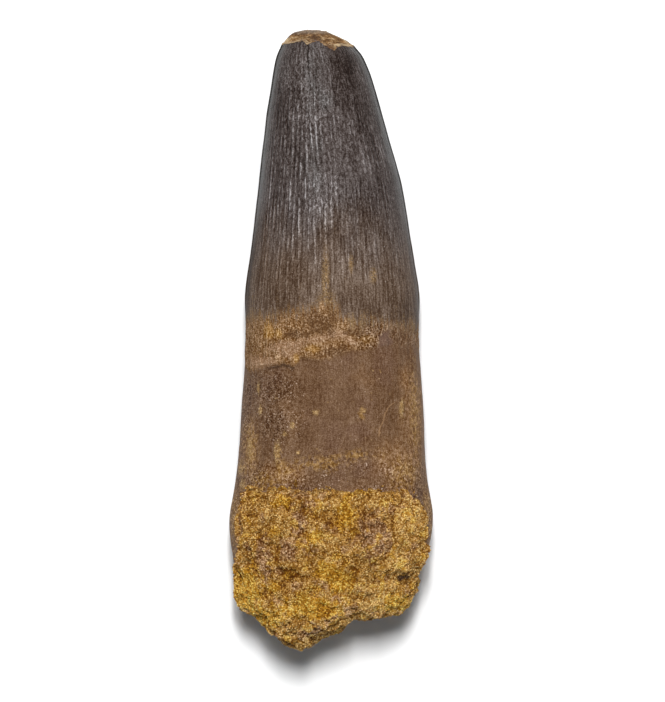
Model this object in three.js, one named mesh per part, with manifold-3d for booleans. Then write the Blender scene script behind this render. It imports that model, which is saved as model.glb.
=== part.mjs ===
// A large fossil tooth of a spinosaurid dinosaur, lying on its side.
//
// Two solids make it. The tooth is one: a fluted enamel crown, worn and broken off short of its
// point, on a smooth root. The sandstone is the other: sand of the old river bed that set hard
// round the broken end of the root, with a tongue of it on the upper and on the under face, and
// the bare sides of the root showing between them.
//
// Units are millimetres. X runs across the tooth, +Y from the root to the tip and +Z up. The tooth
// rests on a worn flat spot under the sandstone and on the underside of the crown near its tip.
// The origin is at the middle of the bounding box's underside.

import * as THREE from "three";
import { mergeVertices } from "three/addons/utils/BufferGeometryUtils.js";
import Module from "manifold-3d";

const { clamp, lerp, smoothstep } = THREE.MathUtils;

// ---------------------------------------------------------------------------------------------
// Driving dimensions

// The oval that holds the fossil at each place along it: y, left, right, bottom, top.
// The crown is the part above y = 2, and the sandstone makes the outline below y = -40.
const PROFILE = [
  [55.0, -8.2, 2.8, 1.6, 11.2],
  [52.4, -8.9, 3.6, 0.6, 12.4],
  [50.5, -9.5, 4.7, 0.1, 13.3],
  [47.0, -10.1, 6.2, -0.15, 14.9],
  [39.0, -11.2, 8.5, 0.1, 18.0],
  [28.4, -12.4, 11.6, 0.9, 21.6],
  [17.8, -13.6, 13.4, 1.6, 24.5],
  [8.4, -15.0, 14.9, 2.0, 26.4],
  [-1.0, -15.4, 15.4, 2.2, 27.4],
  [-11.4, -16.1, 16.3, 2.1, 28.1],
  [-24.5, -17.1, 17.0, 1.8, 28.8],
  [-31.5, -18.3, 17.9, 1.7, 29.2],
  [-38.0, -17.9, 17.2, 1.8, 28.6],
  [-40.8, -17.5, 15.7, 2.0, 27.6],
  [-43.3, -17.9, 15.1, 2.4, 26.4],
];

// Flutes: the fine ridges that run down the enamel.
const FLUTES = 88;
const FLUTE_HEIGHT = 0.32;
const FLUTES_FADE_BELOW = 7; // y at which they start to die out towards the root
const TIP_WEAR_ABOVE = 44; // y above which every second flute has been worn away
const KEEL_HEIGHT = 0.22; // the two cutting edges, down the left and the right side
const KEEL_HALF_ANGLE = 0.05;

// The broken tip: the break slopes up to the far side and is domed across.
const BREAK_MIDDLE = 53.65;
const BREAK_SLOPE = 1.15;
const BREAK_DOME = 1.1;
const BREAK_TILT = 0.35;
const CHIPS = 0.45;

// Where the enamel ends, and the ledge below it, at eight places round the tooth: right side,
// then over the top to the left side, and back underneath.
const ENAMEL_END = [1.4, 2.2, 3.0, 1.6, 1.2, 0.8, 2.0, 2.4];
const ENAMEL_STEP = 0.16;
const LEDGE = [-1.4, -2.4, -1.2, -4.2, -5.9, -3.8, -2.2, -3.0];
const LEDGE_LIP = 0.12;
const LEDGE_DROP = 0.28;
const SWELL_HEIGHT = 0.15;

// The root goes on inside the sandstone to its own broken end.
const BURIED_BELOW = -38;
const ROOT_END = -45;
const ROOT_END_TAPER = 4;

// The sandstone. Its rim is given at sixteen places round the root, in the same order.
const SAND_TOP = -23.5;
const RIM = [
  -40, -37.5, -27.2, -26.6, -26.3, -26.9, -26, -33.5, -40.8, -37, -31, -28, -29.5, -31.5, -31, -38,
];
const RIM_SLOPE = 1.8; // how far below the rim the crust has its whole thickness
const SAND_INSET = 0.6; // how deep the crust's own surface lies in the root where it is bare
const CRUST_TOP = 0.8; // thickness over the upper face
const CRUST_UNDER = 2.2; // thickness over the under face, before the flat spot is worn into it
const SHOULDER = -41; // y from which the sandstone closes over the end of the root
const END_BLUNTNESS = 2.6;
const LUMP_HEIGHT = 0.75;
const KNOB_HEIGHT = 0.5;
const PIT_DEPTH = 0.7;
const END_RELIEF = 1.6; // how much rougher the broken end is
const SEAT = 0.3; // the gap between the sandstone and the root in it

// The sandstone's broken end, seen from above: x, y.
const END_OUTLINE = [
  [-17.9, -42.6],
  [-17.4, -45.2],
  [-16.1, -48.6],
  [-13.4, -50.1],
  [-11.0, -52.7],
  [-7.6, -54.6],
  [-4.9, -55.1],
  [-2.3, -53.9],
  [0.6, -51.5],
  [2.6, -51.6],
  [3.4, -49.8],
  [7.6, -49.7],
  [12.7, -49.2],
  [14.4, -45.6],
  [15.5, -42.6],
];

// How finely each surface is divided.
const CROWN_COLUMNS = 2 * FLUTES; // a ridge and a groove each
const EDGE_COLUMNS = FLUTES;
const ROOT_COLUMNS = FLUTES / 2;
const SAND_COLUMNS = 80;
const CROWN_RINGS = [0, 0.03, 0.08, 0.16, 0.28, 0.41, 0.54, 0.67, 0.8, 0.91, 1];
const ROOT_RINGS = [-9, -14, -19, -24, -28, -32, -35.5, -38, -40.5, -43];
const SAND_RINGS = 14;
const END_RINGS = [0.985, 0.95, 0.895, 0.82]; // shares of the way out from the end's middle
const END_RINGS_HALF = [0.71, 0.6, 0.49];
const END_RINGS_QUARTER = [0.36, 0.21, 0.11];

// ---------------------------------------------------------------------------------------------
// Small tools

// A fixed pseudo-random number from 0 to 1 for three whole numbers.
function scatter(i, j, k) {
  const wave = Math.sin(i * 127.1 + j * 311.7 + k * 74.7) * 43758.5453;
  return wave - Math.floor(wave);
}

// Smooth unevenness from -1 to 1 over space, with lumps of about the size given.
function unevenness(point, size, seed) {
  const place = [point.x, point.y, point.z].map((v) => v / size + seed);
  const [i, j, k] = place.map(Math.floor);
  const [u, v, w] = place.map((value) => smoothstep(value - Math.floor(value), 0, 1));
  const edge = (dj, dk) => lerp(scatter(i, j + dj, k + dk), scatter(i + 1, j + dj, k + dk), u);
  return 2 * lerp(lerp(edge(0, 0), edge(1, 0), v), lerp(edge(0, 1), edge(1, 1), v), w) - 1;
}

// A smooth line through values that are spaced evenly round the fossil.
function roundLine(values, angle) {
  const count = values.length;
  const place = ((angle / (2 * Math.PI)) * count + count) % count;
  const i = Math.floor(place);
  const t = smoothstep(place - i, 0, 1);
  return lerp(values[i % count], values[(i + 1) % count], t);
}

// A straight line through [x, y] points.
function polyline(points, x) {
  const last = points.length - 1;
  const i = clamp(points.findIndex((p) => p[0] > x) - 1, 0, last - 1);
  const k = x >= points[last][0] ? last - 1 : i;
  const t = clamp((x - points[k][0]) / (points[k + 1][0] - points[k][0]), 0, 1);
  return lerp(points[k][1], points[k + 1][1], t);
}

// The fossil's oval at a place along it, from a smooth curve through PROFILE.
function ovalAt(y) {
  const last = PROFILE.length - 1;
  let k = PROFILE.findIndex((row) => row[0] <= y) - 1;
  k = k < -1 ? last - 1 : clamp(k, 0, last - 1);
  const [before, from, to, after] = [k - 1, k, k + 1, k + 2].map((i) => PROFILE[clamp(i, 0, last)]);
  const span = to[0] - from[0];
  const t = clamp((y - from[0]) / span, 0, 1);
  const [left, right, bottom, top] = [1, 2, 3, 4].map((c) => {
    const slopeIn = ((to[c] - before[c]) / (to[0] - before[0])) * span;
    const slopeOut = ((after[c] - from[c]) / (after[0] - from[0])) * span;
    const rise = to[c] - from[c];
    const bend = 3 * rise - 2 * slopeIn - slopeOut;
    const turn = slopeIn + slopeOut - 2 * rise;
    return from[c] + slopeIn * t + bend * t * t + turn * t * t * t;
  });
  return {
    middleX: (left + right) / 2,
    middleZ: (bottom + top) / 2,
    halfWidth: (right - left) / 2,
    halfDepth: (top - bottom) / 2,
  };
}

// The point at an angle on that oval, raised by a height. Angle 0 is the right side, a quarter
// turn is the top.
function onOval(angle, y, height) {
  const oval = ovalAt(y);
  return new THREE.Vector3(
    oval.middleX + (oval.halfWidth + height) * Math.cos(angle),
    y,
    oval.middleZ + (oval.halfDepth + height) * Math.sin(angle),
  );
}

function ring(columns, pointAt) {
  return Array.from({ length: columns }, (_, i) => pointAt((i / columns) * 2 * Math.PI, i));
}

// A closed skin over rings that run towards -Y. A ring may hold half or twice as many points as
// the one before it, and a single point closes each end.
function skin(firstPoint, rings, lastPoint) {
  const points = [firstPoint];
  const faces = [];
  const starts = rings.map((r) => points.push(...r) - r.length);
  points.push(lastPoint);
  const end = points.length - 1;
  rings.forEach((r, k) => {
    const here = (i) => starts[k] + (i % r.length);
    if (k === 0) for (let i = 0; i < r.length; i++) faces.push([0, here(i + 1), here(i)]);
    if (k === rings.length - 1) {
      for (let i = 0; i < r.length; i++) faces.push([here(i), here(i + 1), end]);
      return;
    }
    const size = rings[k + 1].length;
    const next = (i) => starts[k + 1] + (i % size);
    for (let i = 0; i < Math.min(r.length, size); i++) {
      if (r.length === size) {
        faces.push([here(i), here(i + 1), next(i)], [here(i + 1), next(i + 1), next(i)]);
      } else if (r.length > size) {
        faces.push([here(2 * i), here(2 * i + 1), next(i)]);
        faces.push([here(2 * i + 1), next(i + 1), next(i)]);
        faces.push([here(2 * i + 1), here(2 * i + 2), next(i + 1)]);
      } else {
        faces.push([here(i), next(2 * i + 1), next(2 * i)]);
        faces.push([here(i), here(i + 1), next(2 * i + 1)]);
        faces.push([here(i + 1), next(2 * i + 2), next(2 * i + 1)]);
      }
    }
  });
  const geometry = new THREE.BufferGeometry().setFromPoints(points);
  geometry.setIndex(faces.flat());
  return geometry;
}

// ---------------------------------------------------------------------------------------------
// Booleans

const wasm = await Module();
wasm.setup();

function toSolid(geometry) {
  const bare = new THREE.BufferGeometry();
  bare.setAttribute("position", geometry.getAttribute("position"));
  bare.setIndex(geometry.getIndex());
  const merged = mergeVertices(bare, 1e-4);
  const vertProperties = new Float32Array(merged.attributes.position.array);
  const triVerts = new Uint32Array(merged.index.array);
  return new wasm.Manifold(new wasm.Mesh({ numProp: 3, vertProperties, triVerts }));
}

function toGeometry(solid) {
  const mesh = solid.getMesh();
  const geometry = new THREE.BufferGeometry();
  geometry.setAttribute("position", new THREE.BufferAttribute(mesh.vertProperties, 3));
  geometry.setIndex(new THREE.BufferAttribute(mesh.triVerts, 1));
  geometry.computeVertexNormals();
  return geometry;
}

function biggestPiece(solid) {
  return solid.decompose().reduce((best, piece) => (piece.volume() > best.volume() ? piece : best));
}

// Everything below the surface that the fossil lies on.
function floorBlock() {
  const size = 200;
  return toSolid(new THREE.BoxGeometry(size, size, size).translate(0, 0, -size / 2));
}

// ---------------------------------------------------------------------------------------------
// The tooth

// How ragged an edge is that runs round the fossil, at an angle.
function raggedness(angle, size, seed) {
  return unevenness(onOval(angle, 0, 0), size, seed);
}

function breakRimY(angle) {
  const across = Math.cos(angle);
  const plane = BREAK_SLOPE * Math.sin(angle) + BREAK_DOME * across ** 2 + BREAK_TILT * across;
  return BREAK_MIDDLE - plane + CHIPS * raggedness(angle, 3.5, 3);
}

function enamelEndY(angle) {
  return roundLine(ENAMEL_END, angle) + 0.6 * raggedness(angle, 3.5, 5);
}

function ledgeY(angle) {
  return roundLine(LEDGE, angle) + 0.8 * raggedness(angle, 4, 8);
}

// How far the cutting edges stand out, down the two sides of the crown.
function keelHeight(angle) {
  const fromSide = Math.abs(Math.sin(angle));
  return KEEL_HEIGHT * Math.max(0, 1 - fromSide / KEEL_HALF_ANGLE);
}

// Even columns are ridges and odd ones are grooves. Their height varies along each flute.
function fluteHeight(column, y) {
  const flute = Math.floor(column / 2);
  const wornAway = flute % 2 === 1 ? smoothstep(y, TIP_WEAR_ABOVE - 14, TIP_WEAR_ABOVE) : 0;
  const dyingOut = 1 - smoothstep(y, 2, FLUTES_FADE_BELOW);
  const strength = 0.4 + 0.6 * scatter(flute, Math.round(y / 6), 11);
  const side = column % 2 === 0 ? 1 : -1;
  return (side * FLUTE_HEIGHT * strength * (1 - wornAway) * (1 - dyingOut)) / 2;
}

// Broad unevenness, the same all over crown and root.
function swell(angle, y) {
  return SWELL_HEIGHT * unevenness(onOval(angle, y, 0), 9, 2);
}

function crownRings() {
  return CROWN_RINGS.map((t) =>
    ring(CROWN_COLUMNS, (angle, column) => {
      const y = lerp(breakRimY(angle), enamelEndY(angle), t);
      return onOval(angle, y, fluteHeight(column, y) + keelHeight(angle) + swell(angle, y));
    }),
  );
}

function breakRings() {
  const middle = ovalAt(BREAK_MIDDLE);
  const inner = (columns, share) =>
    ring(columns, (angle) => {
      const rim = onOval(angle, breakRimY(angle), 0);
      const heart = new THREE.Vector3(middle.middleX, BREAK_MIDDLE + 0.35, middle.middleZ);
      const point = rim.lerp(heart, 1 - share);
      return point.setY(point.y + 0.5 * unevenness(point, 2.2, 14));
    });
  return [inner(ROOT_COLUMNS, 0.45), inner(EDGE_COLUMNS, 0.82)];
}

// The enamel's own edge, and the ledge where the crust under it has broken away.
function edgeRings() {
  return [
    ring(EDGE_COLUMNS, (angle) => {
      const y = enamelEndY(angle) - 0.35;
      return onOval(angle, y, swell(angle, y) - ENAMEL_STEP);
    }),
    ring(EDGE_COLUMNS, (angle) => {
      const y = ledgeY(angle);
      return onOval(angle, y, swell(angle, y) + LEDGE_LIP - ENAMEL_STEP);
    }),
    ring(EDGE_COLUMNS, (angle) => {
      const y = ledgeY(angle) - 0.4;
      return onOval(angle, y, swell(angle, y) - LEDGE_DROP);
    }),
  ];
}

// The root's rings, raised by a clearance where they are to make its seat in the sandstone.
function rootRings(clearance) {
  const rings = ROOT_RINGS.map((y) =>
    ring(ROOT_COLUMNS, (angle) => {
      const buried = smoothstep(y, ROOT_END, BURIED_BELOW);
      const height = lerp(-ROOT_END_TAPER, swell(angle, y) - LEDGE_DROP / 2, buried);
      return onOval(angle, y, height + clearance);
    }),
  );
  rings.push(
    ring(ROOT_COLUMNS, (angle) => {
      const ragged = 0.7 * raggedness(angle, 5, 21);
      const point = onOval(angle, ROOT_END, -ROOT_END_TAPER - 1 + clearance);
      return point.setY(ROOT_END + ragged - clearance);
    }),
  );
  return rings;
}

function rootEndPoint(clearance) {
  const oval = ovalAt(ROOT_END);
  return new THREE.Vector3(oval.middleX, ROOT_END + 0.5 - clearance, oval.middleZ);
}

function buildTooth(floor) {
  const heart = ovalAt(BREAK_MIDDLE);
  const tip = new THREE.Vector3(heart.middleX, BREAK_MIDDLE + 0.5, heart.middleZ);
  const rings = [...breakRings(), ...crownRings(), ...edgeRings(), ...rootRings(0)];
  return toSolid(skin(tip, rings, rootEndPoint(0))).subtract(floor);
}

// ---------------------------------------------------------------------------------------------
// The sandstone

// Lumps, knobs and pits of the sandstone's surface.
function sandRelief(point) {
  const lumps = LUMP_HEIGHT * unevenness(point, 5.5, 31);
  const knobs = KNOB_HEIGHT * unevenness(point, 2.1, 37);
  const pits = PIT_DEPTH * smoothstep(unevenness(point, 3.2, 43), 0.35, 0.75);
  return lumps + knobs - pits;
}

// How far the crust stands over the fossil's outline: thick on the two broad faces, and level
// with it down the sides.
function crustHeight(angle, y) {
  const up = Math.sin(angle);
  const thick = up > 0 ? CRUST_TOP * up ** 0.6 : CRUST_UNDER * (-up) ** 1.5;
  const calm = Math.min(1, 0.45 + Math.abs(up));
  return thick + calm * sandRelief(onOval(angle, y, 0));
}

function crustPoint(angle, y) {
  const rim = roundLine(RIM, angle) + 0.9 * raggedness(angle, 2.6, 41);
  const covered = 1 - smoothstep(y, rim - RIM_SLOPE, rim);
  return onOval(angle, y, lerp(-SAND_INSET, crustHeight(angle, y), covered));
}

// A point of the closed end, a share of the way out from its middle.
function endPoint(angle, share) {
  const oval = ovalAt(SHOULDER);
  const heart = new THREE.Vector3(oval.middleX, SHOULDER, oval.middleZ);
  const point = heart.lerp(crustPoint(angle, SHOULDER), share);
  const up = share * Math.sin(angle);
  const across = share * Math.cos(angle);
  const reach = Math.abs(up) / Math.sqrt(Math.max(1 - across ** 2, 1e-6));
  const depth = Math.max(0, 1 - Math.min(reach, 1) ** END_BLUNTNESS) ** (1 / END_BLUNTNESS);
  point.y = lerp(SHOULDER, polyline(END_OUTLINE, point.x), depth);
  const rough = END_RELIEF * (1 - share ** 6) * (0.25 + 0.75 * reach);
  return point.setY(point.y - rough * sandRelief(point));
}

function buildSandstone(floor) {
  const start = ovalAt(SAND_TOP);
  const inside = new THREE.Vector3(start.middleX, SAND_TOP, start.middleZ);
  const sides = Array.from({ length: SAND_RINGS }, (_, k) => {
    const y = lerp(SAND_TOP, SHOULDER, k / (SAND_RINGS - 1));
    return ring(SAND_COLUMNS, (angle) => crustPoint(angle, y));
  });
  const closed = (columns, share) => ring(columns, (angle) => endPoint(angle, share));
  const end = END_RINGS.map((share) => closed(SAND_COLUMNS, share));
  end.push(...END_RINGS_HALF.map((share) => closed(SAND_COLUMNS / 2, share)));
  end.push(...END_RINGS_QUARTER.map((share) => closed(SAND_COLUMNS / 4, share)));
  const lump = toSolid(skin(inside, [...sides, ...end], endPoint(0, 0)));

  const seatRings = rootRings(SEAT);
  const seatTop = ovalAt(ROOT_RINGS[0]);
  const seatStart = new THREE.Vector3(seatTop.middleX, ROOT_RINGS[0], seatTop.middleZ);
  const seat = toSolid(skin(seatStart, seatRings, rootEndPoint(SEAT)));
  return biggestPiece(lump.subtract(seat).subtract(floor));
}

// ---------------------------------------------------------------------------------------------
// The object

const ENAMEL_BROWN = new THREE.MeshStandardMaterial({ color: 0x66594f, roughness: 0.45, metalness: 0 });
const SANDSTONE_OCHRE = new THREE.MeshStandardMaterial({ color: 0x9b743c, roughness: 0.95, metalness: 0 });

const floor = floorBlock();
const fossil = new THREE.Group();
for (const [name, solid, material] of [
  ["tooth", buildTooth(floor), ENAMEL_BROWN],
  ["sandstone_matrix", buildSandstone(floor), SANDSTONE_OCHRE],
]) {
  const mesh = new THREE.Mesh(toGeometry(solid), material);
  mesh.name = name;
  fossil.add(mesh);
}

// The profile is drawn close to the middle of the box, and the rest of the way is measured.
const box = new THREE.Box3().setFromObject(fossil, true);
fossil.position.set(-(box.min.x + box.max.x) / 2, -(box.min.y + box.max.y) / 2, 0);

export default fossil;
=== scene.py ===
# %% [markdown]
# # A spinosaurus tooth, lying on its side
# The tooth has a crown of dark, fluted enamel, broken off near its tip, and a smooth brown root. A
# lump of ochre sandstone is cemented round the root's broken end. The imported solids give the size
# and the place of both. Finished pieces of the same size take over their looks: one for the tooth,
# and for the sandstone a lump and its sand grains.

# %% Load the frame
import math

import bpy
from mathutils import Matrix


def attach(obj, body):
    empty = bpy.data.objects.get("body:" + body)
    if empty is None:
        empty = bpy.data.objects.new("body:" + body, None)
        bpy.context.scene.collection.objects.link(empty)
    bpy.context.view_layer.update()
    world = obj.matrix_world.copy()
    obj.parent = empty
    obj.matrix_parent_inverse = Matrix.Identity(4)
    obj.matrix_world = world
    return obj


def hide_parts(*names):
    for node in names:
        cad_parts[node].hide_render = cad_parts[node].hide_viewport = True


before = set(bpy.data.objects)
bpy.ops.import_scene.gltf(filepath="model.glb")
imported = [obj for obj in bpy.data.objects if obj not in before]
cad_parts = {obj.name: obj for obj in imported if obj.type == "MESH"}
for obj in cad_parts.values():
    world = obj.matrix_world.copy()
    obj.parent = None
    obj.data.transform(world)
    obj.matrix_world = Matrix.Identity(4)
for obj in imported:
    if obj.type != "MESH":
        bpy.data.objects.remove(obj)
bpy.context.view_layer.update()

# %% [markdown]
# ## Measures
# Everything that is read off the real tooth is kept in millimetres, because its flutes and sand
# grains are that small. Blender works in metres, so a length is multiplied by MM where it is used.
# The solids are centred on their box, which moved them by a fraction of a millimetre.

# %% Measures of the fossil
MM = 0.001
CENTRED_BY = (0.17, -0.01)  # mm, in X and Y

# y, left, right, bottom and top of the oval that holds the fossil at each place along it
OVALS = [
    (55.0, -8.1, 3.0, 1.6, 11.2),
    (52.4, -8.9, 3.6, 0.6, 12.4),
    (50.5, -9.7, 5.1, 0.1, 13.3),
    (47.0, -10.4, 6.7, -0.15, 14.9),
    (39.0, -11.6, 8.9, 0.1, 18.0),
    (28.4, -12.8, 11.9, 0.9, 21.6),
    (17.8, -14.0, 13.7, 1.6, 24.5),
    (8.4, -15.3, 15.2, 2.0, 26.4),
    (-1.0, -15.5, 15.5, 2.2, 27.4),
    (-11.4, -16.2, 16.2, 2.1, 28.1),
    (-24.5, -17.2, 16.9, 1.8, 28.8),
    (-31.5, -18.5, 18.1, 1.7, 29.2),
    (-38.0, -17.9, 17.0, 1.8, 28.6),
    (-40.8, -17.5, 15.7, 2.0, 27.6),
    (-43.3, -17.9, 15.1, 2.4, 26.4),
]


def oval_at(y):
    """The oval at a place along the fossil, on a smooth curve through OVALS."""
    last = len(OVALS) - 1
    k = min(max(sum(row[0] > y for row in OVALS) - 1, 0), last - 1)
    before, start, stop, after = (OVALS[min(max(i, 0), last)] for i in range(k - 1, k + 3))
    span = stop[0] - start[0]
    t = min(max((y - start[0]) / span, 0.0), 1.0)
    sides = []
    for c in (1, 2, 3, 4):
        slope_in = (stop[c] - before[c]) / (stop[0] - before[0]) * span
        slope_out = (after[c] - start[c]) / (after[0] - start[0]) * span
        change = stop[c] - start[c]
        bend, turn = 3 * change - 2 * slope_in - slope_out, slope_in + slope_out - 2 * change
        sides.append(start[c] + slope_in * t + bend * t * t + turn * t ** 3)
    return tuple(sides)


print("oval at the crown's base, mm:", [round(side, 1) for side in oval_at(5)])

# %% [markdown]
# ## Camera and studio
# The fossil can't stand, so it lies on a white table and the camera looks straight down on it,
# with the tip towards the top of the picture. A long lens far away keeps the outline free of
# perspective. Two area lamps hang at nearly the same place above the table, a little beyond the
# tip. The narrow one draws a grey sheen along the crown, which the enamel's finish paints in as
# well, and a short, dark shadow below the base, and the wide one softens the shadow's edge. A weak
# lamp further beyond the tip adds gloss, and a weak blue one from the root's side fills the shadow.
# The bright table lights the flanks.

# %% Camera
PICTURE = (665, 702)
PIXEL = 0.1774  # mm of the fossil for each pixel of the picture
OFF_CENTRE = (0.1, -11)  # pixels from the fossil's middle to the picture's
CAMERA_HEIGHT = 3000.0  # mm
LOOKS_AT_HEIGHT = 15.0  # mm, where the outline of the root lies
SENSOR = 36.0

camera_x, camera_y = (moved + pixels * PIXEL for moved, pixels in zip(CENTRED_BY, OFF_CENTRE))
camera_at = (camera_x * MM, camera_y * MM, CAMERA_HEIGHT * MM)
bpy.ops.object.camera_add(location=camera_at, rotation=(0, 0, 0))
camera = bpy.context.object
camera.name = "camera_above"
camera.data.sensor_width = SENSOR
camera.data.lens = SENSOR * (CAMERA_HEIGHT - LOOKS_AT_HEIGHT) / (PICTURE[1] * PIXEL)
camera.data.clip_start = 0.5
bpy.context.scene.camera = camera
print("lens in mm:", round(camera.data.lens))

# %% Table and room
TABLE_TOP = -0.00002  # metres, a hair below the fossil, so that no two faces share a place
bpy.context.scene.view_settings.view_transform = "Standard"

bpy.ops.mesh.primitive_plane_add(size=3.0, location=(0, 0, TABLE_TOP))
table = bpy.context.object
table.name = "white_table"
paper = bpy.data.materials.new("white_paper")
paper.use_nodes = True
paper.node_tree.nodes["Principled BSDF"].inputs["Base Color"].default_value = (0.98, 0.98, 0.98, 1)
paper.node_tree.nodes["Principled BSDF"].inputs["Roughness"].default_value = 0.9
table.data.materials.append(paper)

room = bpy.data.worlds.new("white_room")
room.use_nodes = True
room.node_tree.nodes["Background"].inputs["Color"].default_value = (0.72, 0.86, 1, 1)
room.node_tree.nodes["Background"].inputs["Strength"].default_value = 0.06
bpy.context.scene.world = room
print("table in metres:", tuple(table.dimensions))


# %% Lamps
def area_lamp(name, place, aim, across, along, power):
    """An area lamp at a place in metres that faces the aim, with its long side towards the aim."""
    bpy.ops.object.light_add(type="AREA", location=place)
    lamp = bpy.context.object
    lamp.name = name
    lamp.data.shape = "RECTANGLE"
    lamp.data.size, lamp.data.size_y = across, along
    lamp.data.energy = power
    toward = [a - b for a, b in zip(aim, place)]
    flat = math.hypot(toward[0], toward[1])
    turned = math.atan2(toward[1], toward[0]) - math.pi / 2
    lamp.rotation_euler = (math.atan2(flat, -toward[2]), 0, turned)
    return lamp


area_lamp("strip_above", (0.0, 0.24, 1.09), (0, 0, 0), 0.05, 0.24, 5.2)
area_lamp("soft_above", (0.0, 0.29, 1.08), (0, 0, 0), 0.28, 0.38, 10.6)
area_lamp("gloss_from_tip", (0.0, 0.75, 0.95), (0, 0.02, 0), 0.22, 0.3, 1.2)
fill = area_lamp("fill_from_root", (0.0, -1.05, 0.36), (0, -0.04, 0.01), 0.5, 0.25, 1.5)
fill.data.color = (0.6, 0.82, 1.0)

# %% [markdown]
# ## Patterns as arithmetic
# Relief and colour both come from patterns: noise, cells and waves, mixed and masked. Blender
# offers the same pattern nodes for shapes (Geometry Nodes) and for colours (Shader Nodes).
# Linking dozens of them by hand hides the idea, so a socket is wrapped in a small class that
# adds the node for each sum. `a * b + c` then makes the Math nodes and links them.


# %% Sockets that can be used in sums
class Field:
    """An output socket of a node tree. Sums of fields add the nodes that they need."""

    def __init__(self, tree, socket):
        self.tree, self.socket = tree, socket

    def is_vector(self):
        return self.socket.type in ("VECTOR", "RGBA")

    def sum_with(self, operation, *others):
        vectors = self.is_vector() or any(isinstance(o, Field) and o.is_vector() for o in others)
        node = self.tree.nodes.new("ShaderNodeVectorMath" if vectors else "ShaderNodeMath")
        node.operation = operation
        for slot, value in zip(node.inputs, (self,) + others):
            plug(self.tree, value, slot)
        return Field(self.tree, node.outputs[0])

    # each sign of a sum stands for one operation of the Math node
    __add__ = __radd__ = lambda self, other: self.sum_with("ADD", other)
    __sub__ = lambda self, other: self.sum_with("SUBTRACT", other)
    __rsub__ = lambda self, other: (self * -1.0).sum_with("ADD", other)
    __mul__ = __rmul__ = lambda self, other: self.sum_with("MULTIPLY", other)
    __truediv__ = lambda self, other: self.sum_with("DIVIDE", other)
    __pow__ = lambda self, other: self.sum_with("POWER", other)
    __abs__ = lambda self: self.sum_with("ABSOLUTE")
    least = lambda self, other: self.sum_with("MINIMUM", other)
    most = lambda self, other: self.sum_with("MAXIMUM", other)

    def parts(self):
        """The three numbers of a vector."""
        node = self.tree.nodes.new("ShaderNodeSeparateXYZ")
        plug(self.tree, self, node.inputs[0])
        return [Field(self.tree, out) for out in node.outputs]

    def length(self):
        node = self.tree.nodes.new("ShaderNodeVectorMath")
        node.operation = "LENGTH"
        plug(self.tree, self, node.inputs[0])
        return Field(self.tree, node.outputs["Value"])


def plug(tree, value, slot):
    """Links a field into an input, or sets a plain number or tuple on it."""
    if isinstance(value, Field):
        tree.links.new(value.socket, slot)
    elif slot.type == "VECTOR" and not hasattr(value, "__len__"):
        slot.default_value = (value, value, value)
    else:
        slot.default_value = value


def joined(x, y, z):
    """A vector field of three numbers or number fields."""
    tree = next(part.tree for part in (x, y, z) if isinstance(part, Field))
    node = tree.nodes.new("ShaderNodeCombineXYZ")
    for slot, value in zip(node.inputs, (x, y, z)):
        plug(tree, value, slot)
    return Field(tree, node.outputs[0])


def rise(field, low, high, at_low=0.0, at_high=1.0):
    """Goes smoothly from at_low to at_high while the field goes from low to high."""
    node = field.tree.nodes.new("ShaderNodeMapRange")
    node.interpolation_type = "SMOOTHSTEP"
    for slot, value in zip(node.inputs, (field, low, high, at_low, at_high)):
        plug(field.tree, value, slot)
    return Field(field.tree, node.outputs[0])


print("a field takes +, -, *, /, ** and abs()")

# %% Noise and cells
SEED_STEP = (7.3, 3.1, 5.7)  # how far each whole step of a seed moves a pattern


def pattern(kind, place, size, seed):
    """A texture node of details of a size in mm. size may be a tuple for X, Y and Z."""
    sizes = size if hasattr(size, "__len__") else (size, size, size)
    node = place.tree.nodes.new(kind)
    moved = tuple(seed * step for step in SEED_STEP)
    scaled = place.sum_with("MULTIPLY_ADD", tuple(1.0 / s for s in sizes), moved)
    plug(place.tree, scaled, node.inputs["Vector"])
    node.inputs["Scale"].default_value = 1.0
    return node


def cloudy(place, size, seed, detail=2.0, roughness=0.5):
    """Noise of about 0 to 1."""
    node = pattern("ShaderNodeTexNoise", place, size, seed)
    node.inputs["Detail"].default_value = detail
    node.inputs["Roughness"].default_value = roughness
    return Field(place.tree, node.outputs[0])


def sway(place, size, seed, amount, detail=2.0, roughness=0.5):
    """Noise about 0 that swings by half the amount either way."""
    return (cloudy(place, size, seed, detail, roughness) - 0.5) * amount


def crisp(place, size, seed, low, high):
    """Noise pulled apart into patches of nearly 0 and nearly 1."""
    return rise(cloudy(place, size, seed, 2.0, 0.55), low, high)


def cells(place, size, seed, feature="F1"):
    """Voronoi cells: the distance in cells, and a random colour for each cell."""
    node = pattern("ShaderNodeTexVoronoi", place, size, seed)
    node.feature = feature
    distance = Field(place.tree, node.outputs["Distance"])
    if feature == "DISTANCE_TO_EDGE":
        return distance
    return distance, Field(place.tree, node.outputs["Color"])


print("a seed moves a pattern by", SEED_STEP, "times its size")


# %% Drawn lines and soft ovals
def line_across(x, points):
    """The height of a drawn line of straight pieces above each x, with points as (x, height)."""
    (first, _), (last, _) = points[0], points[-1]
    low, high = min(h for _, h in points) - 1, max(h for _, h in points) + 1
    node = x.tree.nodes.new("ShaderNodeFloatCurve")
    curve = node.mapping.curves[0]
    for at, value in points[1:-1]:
        curve.points.new((at - first) / (last - first), (value - low) / (high - low))
    curve.points[0].location = (0.0, (points[0][1] - low) / (high - low))
    curve.points[-1].location = (1.0, (points[-1][1] - low) / (high - low))
    for point in curve.points:
        point.handle_type = "VECTOR"
    node.mapping.update()
    plug(x.tree, ((x - first) / (last - first)).most(0.0).least(1.0), node.inputs["Value"])
    return Field(x.tree, node.outputs[0]) * (high - low) + low


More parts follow.
